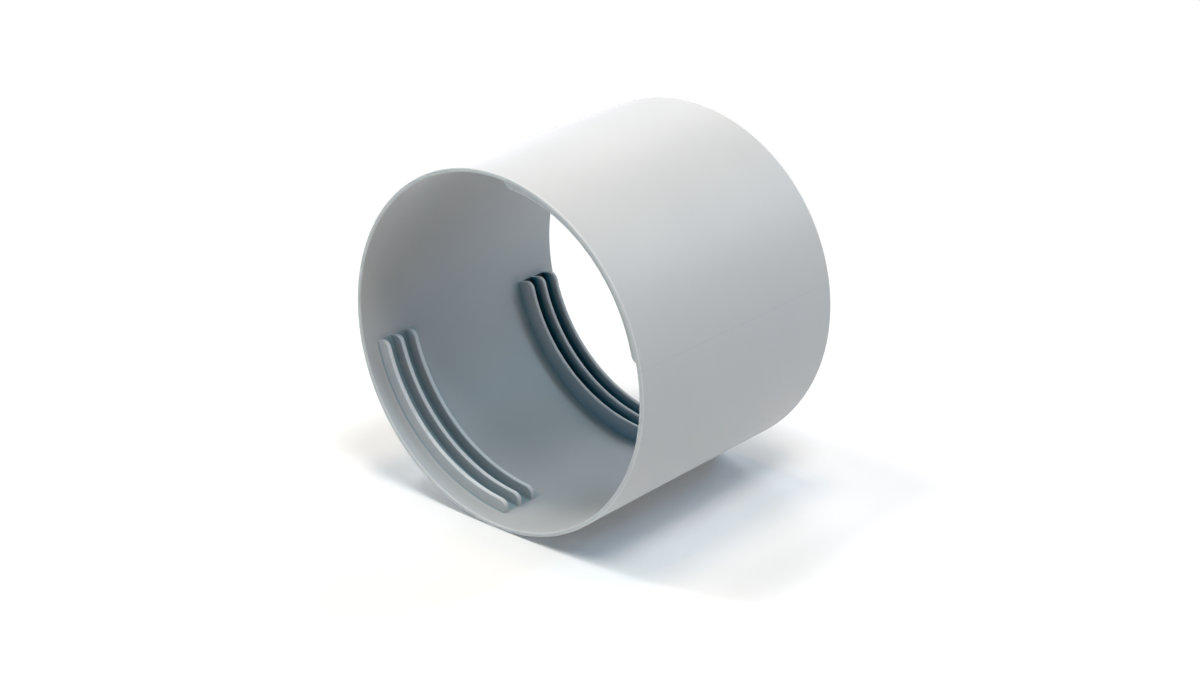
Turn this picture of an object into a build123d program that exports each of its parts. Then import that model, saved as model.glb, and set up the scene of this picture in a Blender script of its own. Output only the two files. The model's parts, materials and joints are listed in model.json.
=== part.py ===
from build123d import *
from math import degrees, radians, tan
import os

# Duct connector: a short moulded sleeve that joins two lengths of corrugated
# hose, 150 mm across. Each hose screws into one mouth, where short thread ribs
# on the inner wall catch its corrugations. The sleeve stands on its wider
# mouth, axis on Z, with the origin at the centre of its base. All in mm.

# Sleeve
length = 126.0
top_radius = 78.0
wall_draft = 1.04
wall = 1.8
rim_chamfer = 0.45

# Thread, left handed, cut down to ribs on two opposite sides of each mouth
thread_pitch = 8.2
thread_depth = 5.45
thread_lead_in = 8.9
ribs_per_side = 3
rib_span = 76.0
rib_root_width = 2.5
rib_crest_width = 2.05
rib_edge_bevel = 0.35
rib_corner_round = 3.5
rib_root_sink = 0.9
first_side = 90.0
side_count = 2

# Stock beyond a rib's outline, which the outline cuts away
trim = 0.5

# The crests keep this radius all the way, while the wall is drafted
thread_crest_radius = top_radius - wall - thread_depth


def outer_radius(z):
    """The sleeve widens towards its base, by the draft of its mould."""
    return top_radius + (length - z) * tan(radians(wall_draft))


def inner_radius(z):
    return outer_radius(z) - wall


def from_axis(point):
    return (point.X**2 + point.Y**2) ** 0.5


def make_rib(seat_radius):
    """A thread rib on a wall of this inner radius, and the angle from its start to its middle."""
    height = seat_radius - thread_crest_radius
    flare = (rib_root_width - rib_crest_width) / 2 / height
    foot = rib_root_width / 2 + flare * rib_root_sink
    shoulder = rib_crest_width / 2 + flare * rib_edge_bevel
    tip = shoulder - rib_edge_bevel - trim
    swept = rib_span + 2 * degrees(trim / seat_radius)
    rise = thread_pitch * swept / 360

    with BuildPart() as rib:
        with BuildLine() as thread:
            Helix(thread_pitch, rise, seat_radius, center=(0, 0, -rise / 2), lefthand=True)
        start = thread.line @ 0
        inward = Vector(-start.X, -start.Y, 0)
        with BuildSketch(Plane(start, x_dir=inward, z_dir=thread.line % 0)):
            with BuildLine():
                Polyline(
                    (-rib_root_sink, -foot),
                    (height - rib_edge_bevel, -shoulder),
                    (height + trim, -tip),
                    (height + trim, tip),
                    (height - rib_edge_bevel, shoulder),
                    (-rib_root_sink, foot),
                    close=True,
                )
            make_face()
        sweep(path=thread.line, is_frenet=True)

        # Seen along the axis, a rib is a band whose inner corners are rounded
        with BuildSketch() as band:
            with BuildLine():
                from_angle = -(swept + rib_span) / 2
                back = CenterArc((0, 0), seat_radius + rib_root_sink + trim, from_angle, rib_span)
                crest = CenterArc((0, 0), thread_crest_radius, from_angle, rib_span)
                Line(back @ 0, crest @ 0)
                Line(back @ 1, crest @ 1)
            make_face()
            fillet(band.vertices().filter_by(lambda v: from_axis(v) < seat_radius), rib_corner_round)
        extrude(amount=rise / 2 + rib_root_width, both=True, mode=Mode.INTERSECT)
    return rib.part, swept / 2


# The thread runs on round the sleeve, so the second side sits a share of a pitch
# further along it. The two mouths are alike when the sleeve is turned end for end.
side_step = thread_pitch / side_count
half_root = rib_root_width / 2
top_ribs = []
base_ribs = []
for side in range(side_count):
    angle = first_side + side * 360 / side_count
    top_lead = thread_lead_in - side * side_step
    base_lead = thread_lead_in - (side_count - 1 - side) * side_step
    for turn in range(ribs_per_side):
        depth = half_root + turn * thread_pitch
        top_ribs.append((angle, length - top_lead - depth))
        base_ribs.append((angle, base_lead + depth))

with BuildPart() as duct_connector:
    with BuildSketch(Plane.XZ):
        with BuildLine():
            Polyline(
                (inner_radius(0), 0),
                (outer_radius(0), 0),
                (outer_radius(length), length),
                (inner_radius(length), length),
                close=True,
            )
        make_face()
    revolve(axis=Axis.Z)
    chamfer(duct_connector.edges().filter_by(GeomType.CIRCLE), rim_chamfer)

    for placed in (top_ribs, base_ribs):
        middle_height = sum(z for angle, z in placed) / len(placed)
        rib, half_sweep = make_rib(inner_radius(middle_height))
        for angle, z in placed:
            with Locations(Location((0, 0, z), (0, 0, angle + half_sweep))):
                add(rib)

duct_connector.part.label = "duct_connector"

os.makedirs("parts", exist_ok=True)
export_step(duct_connector.part, "parts/duct_connector.step")
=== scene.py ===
# %% [markdown]
# A duct connector is a short plastic sleeve that joins two corrugated air hoses. Its CAD
# model is loaded here as a fixed frame: it says where the part is and how large it is, and
# nothing in this lesson moves or resizes it. The frame's record also holds the radius and
# the place of the two threads, so those numbers are read instead of being typed again.

# %% Load the frame
import json
from math import cos, degrees, inf, radians, sin, sqrt, tan

import bpy
import numpy as np
from mathutils import Matrix, Vector


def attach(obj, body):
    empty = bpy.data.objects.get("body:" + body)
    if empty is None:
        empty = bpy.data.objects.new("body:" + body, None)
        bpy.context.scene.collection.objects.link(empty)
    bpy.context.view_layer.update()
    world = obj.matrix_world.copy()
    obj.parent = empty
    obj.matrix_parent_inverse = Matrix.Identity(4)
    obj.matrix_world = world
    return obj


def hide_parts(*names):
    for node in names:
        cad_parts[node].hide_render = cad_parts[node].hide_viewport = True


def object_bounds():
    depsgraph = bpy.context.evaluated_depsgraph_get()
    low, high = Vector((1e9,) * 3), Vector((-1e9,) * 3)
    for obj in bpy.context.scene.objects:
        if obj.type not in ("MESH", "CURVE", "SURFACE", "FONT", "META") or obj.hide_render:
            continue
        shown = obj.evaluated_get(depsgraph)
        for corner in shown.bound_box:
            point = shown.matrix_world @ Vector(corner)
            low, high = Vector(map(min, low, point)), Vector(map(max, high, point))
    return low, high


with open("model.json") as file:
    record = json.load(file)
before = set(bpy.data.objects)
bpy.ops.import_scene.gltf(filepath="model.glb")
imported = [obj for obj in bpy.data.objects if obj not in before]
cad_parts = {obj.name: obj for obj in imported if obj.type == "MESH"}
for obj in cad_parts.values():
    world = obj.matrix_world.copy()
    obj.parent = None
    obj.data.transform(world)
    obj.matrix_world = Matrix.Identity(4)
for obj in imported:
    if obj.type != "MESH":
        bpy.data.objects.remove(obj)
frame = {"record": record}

node = "duct_connector"
cad_low, cad_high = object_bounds()
print("CAD box, metres:", [round(v, 4) for v in (*cad_low, *cad_high)])

# %% [markdown]
# Blender works in metres, and moulded parts are thought of in millimetres. A factor called
# `mm` keeps each size readable. The sleeve stands on its wider mouth, and its wall leans in
# by one degree, the draft that lets it out of the mould. The crests of the thread are not
# drafted: they have to fit the same hose in both mouths.

# %% Sizes of the sleeve
mm = 0.001
threads = {m["name"]: m for m in frame["record"]["mounts"] if m["kind"] == "clamp"}
crest_radius = threads["top_hose_thread"]["dims"]["r_mm"] * mm
thread_middles = sorted(m["pos_m"][2] for m in threads.values())
length = cad_high.z
draft = radians(1.04)
top_radius = 78.0 * mm
wall = 1.8 * mm
rim_round = 0.6 * mm


def outer_radius(z):
    return top_radius + (length - z) * tan(draft)


def inner_radius(z):
    return outer_radius(z) - wall


print("thread crests", round(crest_radius / mm, 2), "mm, sleeve", round(length / mm, 1), "mm long")

# %% [markdown]
# The hose screws onto a left-handed thread. A full thread would lock in the mould, so only
# three short ribs are left of it on each of two opposite sides of each mouth. Seen across,
# a rib is a thin blade: a small round at its root, a flank with a little draft, and a crest
# with softened edges. This function gives that section as pairs, the way along the sleeve's
# axis and the height over the wall. A rib that is cut lower keeps as many points, so that
# sections of any height can be joined into one mesh.

# %% The section of a rib
pitch = 8.2 * mm
root_half = 1.25 * mm
crest_half = 1.025 * mm
root_round = 0.4 * mm
crest_round = 0.6 * mm
end_round = 0.45 * mm
support = 0.3 * mm
arc_steps = 4
arc = [radians(90) * step / arc_steps for step in range(arc_steps + 1)]


def rib_section(full, height, pinch):
    """Half of a rib's section from its root to its crest, as (way from the middle, height) pairs."""
    flare = (root_half - crest_half) / full
    squash = min(1, height / (root_round + crest_round + 2 * support))
    foot = root_half - pinch
    points = [(foot + root_round + support, 0)]
    points += [(foot + root_round * (1 - sin(t)), squash * root_round * (1 - cos(t))) for t in arc]
    low = squash * (root_round + support)
    high = height - squash * (crest_round + support)
    points += [(foot - flare * h, h) for h in (low, (low + high) / 2, high)]
    shoulder = foot - flare * height - crest_round
    points += [
        (shoulder + crest_round * cos(t), height - squash * crest_round * (1 - sin(t))) for t in arc
    ]
    return points + [(0, height)]


print("points in a whole section:", 2 * len(rib_section(5 * mm, 5 * mm, 0)) - 1)

# %% [markdown]
# Seen along the axis, a rib is a band that ends in a flat face across the wall, with a
# generous round where that face meets the crest. The mesh is a grid that runs round the
# sleeve, so a rib's end is a few columns of the grid set close together. Each column says
# how far the crest has dropped there, the most that is left of the rib, and how much its
# section is pinched, which rounds the end's upright edges.

# %% The end of a rib
corner_round = 3.5 * mm
corner_steps = 9


def end_columns():
    """Columns through the end of a rib, as (way in from its end face, drop, ceiling, pinch)."""
    columns = []
    for step in range(corner_steps + 1):
        t = radians(90) * step / corner_steps
        way_in = corner_round * (1 - sin(t))
        pinched = end_round - sqrt(max(end_round**2 - max(end_round - way_in, 0) ** 2, 0))
        columns.append((way_in, corner_round * (1 - cos(t)), inf, pinched))
    for t in reversed(arc):
        columns.append((root_round * (sin(t) - 1), 0, root_round * (1 - cos(t)), end_round))
    return columns


print("columns through a rib's end:", len(end_columns()))

# %% [markdown]
# The whole sleeve is one closed grid. A boolean of twelve swept ribs with a tube would need
# its slivers cleaned, and it shades badly where a thin blade meets a wide wall. A grid whose
# rows bend to follow the thread has no such places: a rib is only a stretch of the inner
# wall that stands further in. Its columns are two degrees apart, and closer at the rib ends.

# %% The grid's columns
side_angles = (90.0, 270.0)
rib_span = 76.0
column_step = 2.0


def ribs_begin(angle):
    """Whether the ribs near this angle begin here, going round, rather than end."""
    return min(side_angles, key=lambda side: abs(side - angle)) > angle


def grid_columns():
    """(angle, drop, ceiling, pinch) of each column, in order round the sleeve."""
    ends = []
    for side in side_angles:
        for turn in (-1, 1):
            end = side + turn * rib_span / 2
            for way_in, drop, ceiling, pinch in end_columns():
                ends.append((end - turn * degrees(way_in / crest_radius), drop, ceiling, pinch))
    found = list(ends)
    for index in range(int(360 / column_step)):
        angle = index * column_step
        clear = min(abs(angle - taken[0]) for taken in ends) > column_step / 4
        inside = min(abs(angle - side) for side in side_angles) < rib_span / 2
        if clear:
            found.append((angle, 0, inf if inside else 0, 0))
    # Two columns at a rib's end face share one angle: the taller is the one nearer its middle
    return sorted(found, key=lambda c: (round(c[0], 6), c[2] if ribs_begin(c[0]) else -c[2]))


columns = grid_columns()
print(len(columns), "columns round the sleeve")

# %% [markdown]
# Every rib has a guide line that the rows follow all the way round. On the rib's own side
# the line falls with the thread, and between the two sides it runs straight to the next rib.
# The second side's ribs sit half a pitch further along, as on an unbroken thread.

# %% Guide lines of the thread
turns = (-1, 0, 1)


def rib_lines(angle):
    """Height of the middle of each rib's line at this angle, from the base up."""
    reach = rib_span / 2 + column_step
    fall = pitch / 360
    lines = []
    for middle in thread_middles:
        for turn in turns:
            angles, heights = [], []
            for index, side in enumerate(side_angles):
                own = middle + (turn + (index - 0.5) / 2) * pitch
                angles += [side - reach, side + reach]
                heights += [own + fall * reach, own - fall * reach]
            lines.append(float(np.interp(angle, angles, heights, period=360)))
    return lines


print("rib heights at the first side, mm:", [round(z / mm, 2) for z in rib_lines(side_angles[0])])

# %% [markdown]
# The sleeve's colour also carries painted light and shade, which stand in for how the lamps
# fall inside the ribbed mouths. The crests and the rims get a painted highlight, the corner at
# a rib's root a thin line of painted shade, and the grooves between the ribs painted shade,
# most of all in the wider mouth at the base, where it turns into nearly black painted shadow.
# The outermost rib's face towards its own mouth is painted lighter, and the innermost rib's
# face towards the middle of the sleeve is painted a darker blue. The bare inner wall has a
# trace of painted shade too, darker and bluer in the middle of a ribbed side and gone sixty
# degrees away. Each point of the mesh carries all this as one number, its painted shading:
# above 0 is a painted highlight, below 0 is painted shade, and below -1 is painted shadow,
# darker still. A number on the points needs no picture and no seam, and it follows the thread
# by itself.

# %% Painted light and shade of the thread
# Painted highlights for rims and crests, painted shade for roots, grooves, faces and the inner wall.
rim_painted_highlight = 0.45
root_painted_shade = -0.4
mouth_face_painted_light = 0.2
middle_face_painted_shade = -0.56
groove_painted_shades = (-2.6, -0.55)
crest_painted_highlights = (0.25, 1.1)
wall_painted_shade = -0.1
wall_painted_shade_reach = 60.0


# Painted light and shade on each face of a rib.
def face_painted_shadings(mouth, turn):
    """Painted shading of a rib's lower and upper face, for its mouth and its turn in the thread."""
    below = above = groove_painted_shades[mouth]
    if turn == 0:
        below = (mouth_face_painted_light, middle_face_painted_shade)[mouth]
    if turn == len(turns) - 1:
        above = (middle_face_painted_shade, mouth_face_painted_light)[mouth]
    return below, above


# Painted shade on the inner wall, darker and bluer near the ribs.
def wall_painted_shading(angle):
    """Painted shade of the bare inner wall: darkest in the middle of a ribbed side."""
    away = min(abs(side - angle) for side in side_angles)
    return wall_painted_shade * max(0, cos(radians(90) * away / wall_painted_shade_reach))


# Painted highlight at the crest, painted shade at the root and darkening towards it.
def point_painted_shading(k, rise, height, full, face, crest_highlight):
    """Painted shading of point k of a rib's section; on a rib that is cut lower it fades with its height."""
    if rise > height - crest_round:
        painted_shading = crest_highlight * max(0, 1 - ((height - rise) / crest_round) ** 2)
    elif k == 0:
        painted_shading = min(face, 0)
    else:
        painted_shading = face if face > 0 else face * (1 - rise / full) ** 1.5
        if k <= arc_steps + 1:
            painted_shading = min(painted_shading, root_painted_shade)
    return painted_shading * height / full


print("tones of a rib at the narrower mouth:", face_painted_shadings(1, 2))

# %% [markdown]
# Each column is now one closed loop of points, in radius, height and painted shading: up the
# inner wall and over the ribs, round the upper rim, down the outer wall, and round the lower
# rim. The rims get a true quarter round at each edge, because that is where light catches.

# %% One column of the grid
gap_rows = 3
wall_rows = 12


def between(start, end, count):
    return [start + (end - start) * (k + 1) / (count + 1) for k in range(count)]


def rim_edge(start, corner, end):
    """A quarter round from start to end, tangent to the lines that meet at the corner."""
    points = []
    for t in arc:
        r, z = (a + (c - a) * sin(t) + (b - c) * (1 - cos(t)) for a, c, b in zip(start, corner, end))
        # Every rim point gets a painted highlight.
        points.append((r, z, rim_painted_highlight))
    return points


def column_loop(angle, drop, ceiling, pinch):
    """The (radius, height, painted shading) points of the sleeve's section at one angle."""
    low, high = rim_round + support, length - rim_round - support
    inner, outer = inner_radius(0), outer_radius(0)
    top_inner, top_outer = inner_radius(length), outer_radius(length)
    # Painted shade of the bare inner wall at this angle.
    wall_shade_here = wall_painted_shading(angle)

    loop = rim_edge((inner + rim_round, 0), (inner, 0), (inner, rim_round))
    loop.append((inner_radius(low), low, wall_shade_here))

    def climb(to_height, count, painted_shading):
        for z in between(loop[-1][1], to_height, count):
            loop.append((inner_radius(z), z, painted_shading))

    def flank(points, way_up, face, crest_highlight):
        for k, (way, rise) in points:
            z = middle + way_up * way
            painted_shading = point_painted_shading(k, rise, height, full, face, crest_highlight)
            loop.append((inner_radius(z) - rise, z, painted_shading + bare_wall_shade))

    for index, middle in enumerate(rib_lines(angle)):
        mouth, turn = divmod(index, len(turns))
        full = inner_radius(middle) - crest_radius
        height = max(min(full - drop, ceiling), 0)
        half = list(enumerate(rib_section(full, height, pinch)))
        # Painted wall shade, fading where a rib stands tall.
        bare_wall_shade = wall_shade_here * (1 - height / full)
        below, above = face_painted_shadings(mouth, turn)
        root = middle - half[0][1][0]
        if turn == 0:
            climb(root, wall_rows, wall_shade_here)
        else:
            climb(root, gap_rows, below * height / full + bare_wall_shade)
        flank(half, -1, below, crest_painted_highlights[mouth])
        flank(half[-2::-1], 1, above, crest_painted_highlights[mouth])

    climb(high, gap_rows, wall_shade_here)
    loop.append((inner_radius(high), high, wall_shade_here))
    loop += rim_edge((top_inner, length - rim_round), (top_inner, length), (top_inner + rim_round, length))
    loop += rim_edge((top_outer - rim_round, length), (top_outer, length), (top_outer, length - rim_round))
    loop += [(outer_radius(z), z, 0.0) for z in (high, *between(high, low, wall_rows), low)]
    return loop + rim_edge((outer, rim_round), (outer, 0), (outer - rim_round, 0))


print("points in one column:", len(column_loop(*columns[0])))

# %% [markdown]
# Where there is no rib, its section has no height, and many of its points fall on one spot
# of the wall. Points that meet are kept once, with the weaker of their painted shadings, and a
# face that has shrunk to a line is left out. So the mesh has no empty faces, and it shades evenly.

# %% The points and faces of the sleeve
def merged_grid():
    """Points, painted shadings and faces of the whole grid, each spot only once."""
    numbers, points, painted_shadings, grid = {}, [], [], []
    for column in columns:
        around = radians(column[0])
        grid.append([])
        for r, z, painted_shading in column_loop(*column):
            point = (r * cos(around), r * sin(around), z)
            number = numbers.setdefault(tuple(round(v / mm, 3) for v in point), len(points))
            if number == len(points):
                points.append(point)
                painted_shadings.append(painted_shading)
            painted_shadings[number] = min(painted_shadings[number], painted_shading, key=abs)
            grid[-1].append(number)

    faces = []
    for own, following in zip(grid, grid[1:] + grid[:1]):
        for r in range(len(own)):
            above = (r + 1) % len(own)
            corners = dict.fromkeys((own[r], own[above], following[above], following[r]))
            if len(corners) > 2:
                faces.append(tuple(corners))
    return points, painted_shadings, faces


points, painted_shadings, faces = merged_grid()
print(len(points), "points,", len(faces), "faces, triangles among them:", sum(len(f) == 3 for f in faces))

# %% [markdown]
# The grid closes on itself both ways, so the mesh has no open edge. `from_pydata` takes the
# points and faces as plain lists, and the painted shadings go into an attribute of the points.
# The new piece stands for the CAD sleeve and rides on the same body.

# %% Build the sleeve
def make_sleeve():
    mesh = bpy.data.meshes.new("sleeve")
    mesh.from_pydata(points, [], faces)
    mesh.shade_smooth()
    # The painted light and shade ride on the points as an attribute.
    mesh.attributes.new("painted_shading", "FLOAT", "POINT").data.foreach_set("value", painted_shadings)
    made = bpy.data.objects.new("sleeve", mesh)
    bpy.context.scene.collection.objects.link(made)
    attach(made, "root")
    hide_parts(node)
    return made


sleeve = make_sleeve()
print("sleeve:", [round(v / mm, 1) for v in sleeve.dimensions], "mm")

# %% [markdown]
# Materials are node trees, and node trees are hard to read in a script. Two small classes
# help. `Wire` wraps a socket, so that `0.5 + 0.06 * noise` adds the Math nodes by itself.
# `Tree` makes any other node from its type, its settings and the values or wires that go
# into its sockets. Colours are mixed by a Mix node, because a Math node turns them grey.

# %% Helpers for node trees
class Wire:
    """A socket whose arithmetic adds Math nodes."""

    def __init__(self, tree, socket):
        self.tree = tree
        self.socket = socket

    def math(self, operation, other=0.0):
        return self.tree.add("ShaderNodeMath", {"operation": operation}, {0: self, 1: other})[0]

    def __add__(self, other):
        return self.math("ADD", other)

    def __mul__(self, other):
        return self.math("MULTIPLY", other)

    def __abs__(self):
        return self.math("ABSOLUTE")

    def __neg__(self):
        return self.math("MULTIPLY", -1.0)

    __radd__ = __add__
    __rmul__ = __mul__


class Tree:
    """A node tree that is written one call per node."""

    def __init__(self, owner):
        owner.use_nodes = True
        self.nodes = owner.node_tree.nodes
        self.links = owner.node_tree.links
        self.nodes.clear()

    def add(self, kind, settings=None, inputs=None):
        """Make a node and return its outputs, as wires, by number or name."""
        made = self.nodes.new(kind)
        for name, value in (settings or {}).items():
            setattr(made, name, value)
        for name, value in (inputs or {}).items():
            if isinstance(value, Wire):
                self.links.new(value.socket, made.inputs[name])
            else:
                made.inputs[name].default_value = value
        outputs = {index: Wire(self, socket) for index, socket in enumerate(made.outputs)}
        outputs.update({socket.name: Wire(self, socket) for socket in made.outputs})
        return outputs

    def mix(self, factor, first, second):
        """Mix two colours; the factor is held between 0 and 1."""
        inputs = {"Factor": factor, 6: first, 7: second}
        return self.add("ShaderNodeMix", {"data_type": "RGBA"}, inputs)[2]

    def dot(self, first, second):
        return self.add("ShaderNodeVectorMath", {"operation": "DOT_PRODUCT"}, {0: first, 1: second})["Value"]


print("helpers:", Wire.__name__, "and", Tree.__name__)

# %% [markdown]
# Where the two halves of the mould met, a moulded part keeps a faint line. On this sleeve it
# runs straight down the outer wall, in line with the end of the ribs. It could be a scratch
# in the mesh, but a line a third of a millimetre wide costs nothing as a mask: the distance
# from the plane between the halves, kept where the surface faces outward.

# %% The mould line
parting = radians(51.0)
across_parting = (-sin(parting), cos(parting), 0)
line_edges = {"From Min": 0.45 * mm, "From Max": 0.15 * mm}


def mould_line(tree, spot, facing):
    """1 on the line and 0 away from it."""
    away = abs(tree.dot(spot, across_parting))
    line = tree.add("ShaderNodeMapRange", None, {"Value": away, **line_edges})["Result"]
    return line * tree.dot(spot, facing).math("GREATER_THAN", wall)


print("the mould line passes", degrees(parting), "and", degrees(parting) + 180, "degrees round")

# %% [markdown]
# The sleeve is moulded in a light grey plastic with a satin skin, because such moulds are
# textured a little to hide flow marks. A fine bump breaks up the highlights without being
# seen as grain, and a slow change of shade and roughness keeps the wide wall from looking
# drawn. The painted shading of each point then leads the colour towards a painted highlight
# on the crests and rims, or towards painted shade in the grooves, and on to the nearly black
# painted shadow in the deepest of them. The mould line is both a little darker and a little
# raised.

# %% The plastic
plastic_colour = (0.515, 0.515, 0.51, 1)
shade_colour = (0.49, 0.49, 0.495, 1)
# Colours of painted light and shade: a painted highlight, the teal of painted shade, and nearly black
# painted shadow.
painted_highlight_colour = (0.76, 0.77, 0.77, 1)
painted_shade_and_mould_line_colour = (0.02, 0.20, 0.28, 1)
painted_shadow_colour = (0.01, 0.02, 0.025, 1)
skin_scale = 1 / (0.9 * mm)
flow_scale = 1 / (40 * mm)


def moulded_plastic(name):
    material = bpy.data.materials.new(name)
    tree = Tree(material)
    own = tree.add("ShaderNodeTexCoord")
    spot = own["Object"]
    line = mould_line(tree, spot, own["Normal"])
    skin = tree.add("ShaderNodeTexNoise", None, {"Vector": spot, "Scale": skin_scale, "Detail": 2.0})["Fac"]
    flow = tree.add("ShaderNodeTexNoise", None, {"Vector": spot, "Scale": flow_scale, "Detail": 1.0})["Fac"]
    # The painted shading on the points mixes painted highlights and painted shade into the colour.
    painted_shading = tree.add("ShaderNodeAttribute", {"attribute_name": "painted_shading"})["Fac"]
    painted_shade = -painted_shading
    colour = tree.mix(flow, plastic_colour, shade_colour)
    colour = tree.mix(painted_shading, colour, painted_highlight_colour)
    colour = tree.mix(painted_shade, colour, painted_shade_and_mould_line_colour)
    colour = tree.mix(painted_shade + -1.0, colour, painted_shadow_colour)
    # The mould line is a real darker line; it takes the same teal as the painted groove shade.
    colour = tree.mix(0.08 * line, colour, painted_shade_and_mould_line_colour)
    relief = {"Height": skin + line, "Strength": 0.06, "Distance": 0.1 * mm}
    finish = {
        "Base Color": colour,
        "Roughness": 0.50 + 0.06 * flow,
        "Normal": tree.add("ShaderNodeBump", None, relief)["Normal"],
        "IOR": 1.5,
    }
    surface = tree.add("ShaderNodeBsdfPrincipled", None, finish)["BSDF"]
    tree.add("ShaderNodeOutputMaterial", None, {"Surface": surface})
    return material


sleeve.data.materials.append(moulded_plastic("satin_grey_plastic"))
print("material:", sleeve.data.materials[0].name)

# %% [markdown]
# In the photograph the sleeve lies on its side on a white sheet. The model stands on its
# wider mouth, so the sheet stands upright here and touches the wall along one line. The
# photograph's vertical is then a level direction of the model.

# %% The white sheet
lying_angle = radians(130.5)
touch = Vector((cos(lying_angle) * cos(draft), sin(lying_angle) * cos(draft), sin(draft)))
up = -touch
sheet_size = 6.0


def make_sheet():
    half_way = length / 2
    foot = Vector((cos(lying_angle), sin(lying_angle), 0)) * outer_radius(half_way)
    foot.z = half_way
    along = Vector((0, 0, 1)).cross(touch).normalized()
    across = touch.cross(along)
    half = sheet_size / 2
    corners = [foot + along * a * half + across * b * half for a, b in ((-1, -1), (-1, 1), (1, 1), (1, -1))]
    mesh = bpy.data.meshes.new("white_sheet")
    mesh.from_pydata([tuple(c) for c in corners], [], [(0, 1, 2, 3)])
    made = bpy.data.objects.new("white_sheet", mesh)
    bpy.context.scene.collection.objects.link(made)
    return made


sheet = make_sheet()
print("the sheet faces the sleeve:", sheet.data.polygons[0].normal.dot(up) > 0)

# %% [markdown]
# The background should be plain white without any more light on the sleeve. So the sheet
# keeps the sleeve's shadow nearby and fades to a white glow further out, and only for rays
# that see it straight or in a gloss. Light that bounces off it meets a darker grey, so that
# the sheet doesn't flood the sleeve. From behind, the sheet is see-through, so that the sleeve
# shows from there too, and it lets the lamp behind it shine through, as the white pane of a
# light table does.

# %% The sheet's material
fade_start, fade_end = 0.22, 0.45
fade_middle = (outer_radius(0) * cos(lying_angle), outer_radius(0) * sin(lying_angle), length / 2)
plain_white = {"Color": (1, 1, 1, 1), "Strength": 1.0}


def in_plain_sight(tree):
    """1 for rays that see the backdrop itself, straight or in a gloss, and 0 for light that bounces."""
    rays = tree.add("ShaderNodeLightPath")
    glossy = rays["Is Glossy Ray"].math("MAXIMUM", rays["Is Transmission Ray"])
    return glossy.math("MAXIMUM", rays["Is Camera Ray"])


def sheet_material():
    material = bpy.data.materials.new("white_sheet")
    tree = Tree(material)
    rays = tree.add("ShaderNodeLightPath")
    spot = tree.add("ShaderNodeNewGeometry")
    seen = tree.add("ShaderNodeBsdfDiffuse", None, {"Color": (0.92, 0.92, 0.92, 1)})["BSDF"]
    bounced = tree.add("ShaderNodeBsdfDiffuse", None, {"Color": (0.8, 0.8, 0.8, 1)})["BSDF"]
    glow = tree.add("ShaderNodeEmission", None, plain_white)["Emission"]
    clear = tree.add("ShaderNodeBsdfTransparent")["BSDF"]
    away = tree.add("ShaderNodeVectorMath", {"operation": "DISTANCE"}, {0: spot["Position"], 1: fade_middle})
    fade = tree.add(
        "ShaderNodeMapRange",
        {"interpolation_type": "SMOOTHSTEP"},
        {"Value": away["Value"], "From Min": fade_start, "From Max": fade_end},
    )["Result"]
    passing = spot["Backfacing"].math("MAXIMUM", rays["Is Shadow Ray"])
    mixes = ((rays["Is Camera Ray"], seen), (fade * in_plain_sight(tree), glow), (passing, clear))
    surface = bounced
    for factor, other in mixes:
        surface = tree.add("ShaderNodeMixShader", None, {0: factor, 1: surface, 2: other})["Shader"]
    tree.add("ShaderNodeOutputMaterial", None, {"Surface": surface})
    return material


sheet.data.materials.append(sheet_material())
print("white from", fade_start, "to", fade_end, "m away")

# %% [markdown]
# The world is that same plain white to the eye, and gives no light of its own: in a studio,
# all the light comes from lamps.

# %% The white world
def make_world():
    world = bpy.data.worlds.new("studio")
    bpy.context.scene.world = world
    tree = Tree(world)
    unlit = tree.add("ShaderNodeBackground", None, {"Color": (1, 1, 1, 1), "Strength": 0.0})["Background"]
    white = tree.add("ShaderNodeBackground", None, plain_white)["Background"]
    both = tree.add("ShaderNodeMixShader", None, {0: in_plain_sight(tree), 1: unlit, 2: white})["Shader"]
    tree.add("ShaderNodeOutputWorld", None, {"Surface": both})
    return world


print("world:", make_world().name)

# %% [markdown]
# Round soft lamps stand all round the sleeve, as soft boxes and white walls do in a studio.
# Directions are named as the photograph shows them: a height over the sheet, and a turn from
# the sleeve's narrower mouth, positive to the photograph's left. Small lamps give the edges
# in the shadow, and large ones fill. Most lamps near the sheet are cool, and the one overhead
# is warm, which gives the grey wall its slow change from warm to cool. The lamp below the
# sheet keeps the underside from going black.

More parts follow.
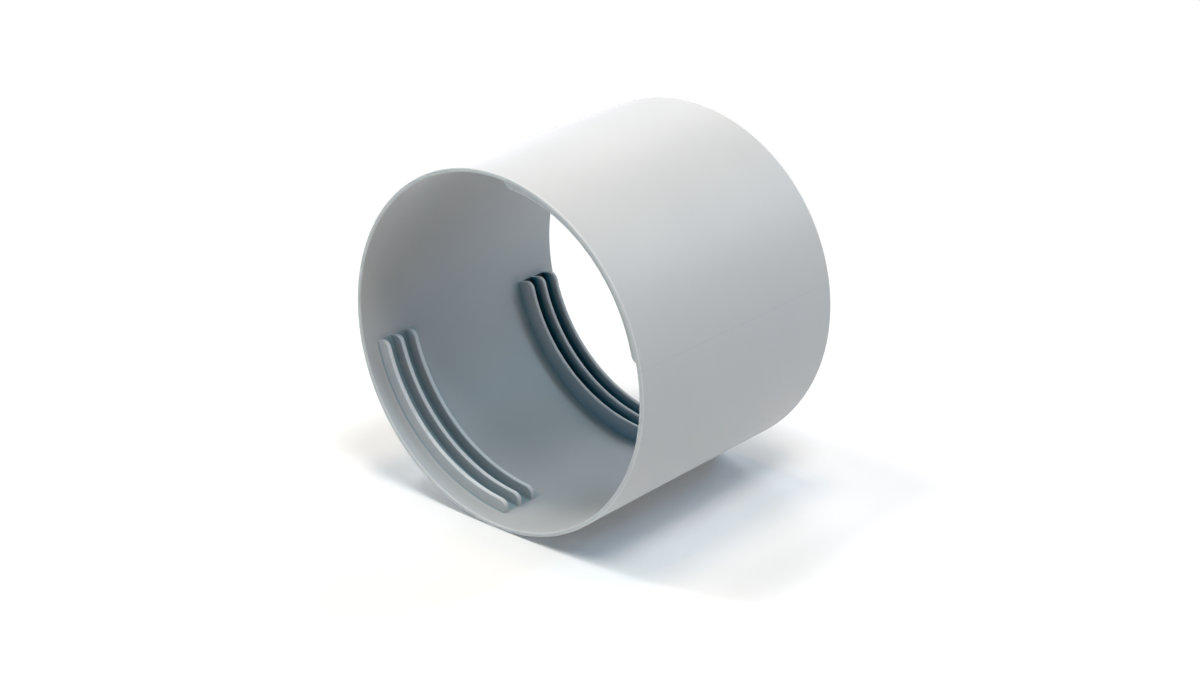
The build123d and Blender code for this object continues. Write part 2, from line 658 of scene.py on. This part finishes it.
# %% The lamps
mouth_way = (Vector((0, 0, 1)) - up * up.z).normalized()
side_way = mouth_way.cross(up)
lamp_distance = 1.6
lamps = {
    "key": {"height": 65, "turn": 60, "size": 0.25, "power": 5.8, "colour": (0.95, 1.0, 0.98)},
    "left": {"height": 42, "turn": 55, "size": 0.8, "power": 4.9, "colour": (1.0, 0.96, 0.82)},
    "front": {"height": 65, "turn": -60, "size": 0.6, "power": 11.9, "colour": (0.87, 0.95, 1.0)},
    "front_warm": {"height": 64, "turn": -64, "size": 0.2, "power": 1.5, "colour": (1.0, 0.45, 0.15)},
    "top": {"height": 90, "turn": 0, "size": 0.5, "power": 8.6, "colour": (1.0, 0.83, 0.68)},
    "mouth_fill": {"height": 20, "turn": 8, "size": 0.8, "power": 2.3, "colour": (0.10, 0.60, 1.0)},
    "left_fill": {"height": 15, "turn": 120, "size": 0.8, "power": 7.5, "colour": (0.78, 0.85, 1.0)},
    "right_fill": {"height": 8, "turn": -105, "size": 0.8, "power": 2.8, "colour": (0.52, 0.60, 0.70)},
    "rear_right": {"height": 42, "turn": -150, "size": 0.8, "power": 4.3, "colour": (0.90, 1.0, 0.90)},
    "rear_cool": {"height": 33, "turn": -144, "size": 0.25, "power": 3.4, "colour": (0.27, 0.58, 1.0)},
    "rear_left": {"height": 36, "turn": 147, "size": 0.7, "power": 4.1, "colour": (0.90, 0.93, 1.0)},
    "under": {"height": -90, "turn": 0, "size": 1.5, "power": 10.0, "colour": (1.0, 1.0, 1.0)},
}


def towards(height, turn):
    """The direction that stands this high over the sheet, turned this far from the mouth."""
    height, turn = radians(height), radians(turn)
    return up * sin(height) + (mouth_way * cos(turn) + side_way * sin(turn)) * cos(height)


def make_lamp(name, height, turn, size, power, colour):
    data = bpy.data.lights.new(name, "AREA")
    data.shape = "DISK"
    data.size = size
    data.energy = power
    data.color = colour
    lamp = bpy.data.objects.new(name, data)
    bpy.context.scene.collection.objects.link(lamp)
    aim = Vector((0, 0, length / 2))
    lamp.location = aim + towards(height, turn) * lamp_distance
    lamp.rotation_euler = (aim - lamp.location).to_track_quat("-Z", "Y").to_euler()


for name, lamp in lamps.items():
    make_lamp(name, **lamp)
print("lamps:", ", ".join(lamps))

# %% [markdown]
# The camera is the photograph's own, worked out from the ellipses of the two rims. It looks
# down on the narrower mouth, and its upright edge follows the sheet's vertical.

# %% Camera
camera_place = Vector((-0.17380, -0.53876, 0.63824))
camera_aim = Vector((-0.01056, 0.00404, 0.06382))
photo_up_angle = radians(-49.5)
lens = 56.63


def make_camera():
    data = bpy.data.cameras.new("camera")
    data.sensor_width = 36.0
    data.lens = lens
    data.clip_end = 20.0
    made = bpy.data.objects.new("camera", data)
    bpy.context.scene.collection.objects.link(made)
    forward = (camera_aim - camera_place).normalized()
    right = forward.cross(Vector((cos(photo_up_angle), sin(photo_up_angle), 0))).normalized()
    upward = right.cross(forward)
    turn = Matrix((right, upward, -forward)).transposed().to_4x4()
    made.matrix_world = Matrix.Translation(camera_place) @ turn
    bpy.context.scene.camera = made
    return made


camera = make_camera()
bpy.context.scene.view_settings.view_transform = "Standard"
print("camera at", [round(v, 3) for v in camera.location])
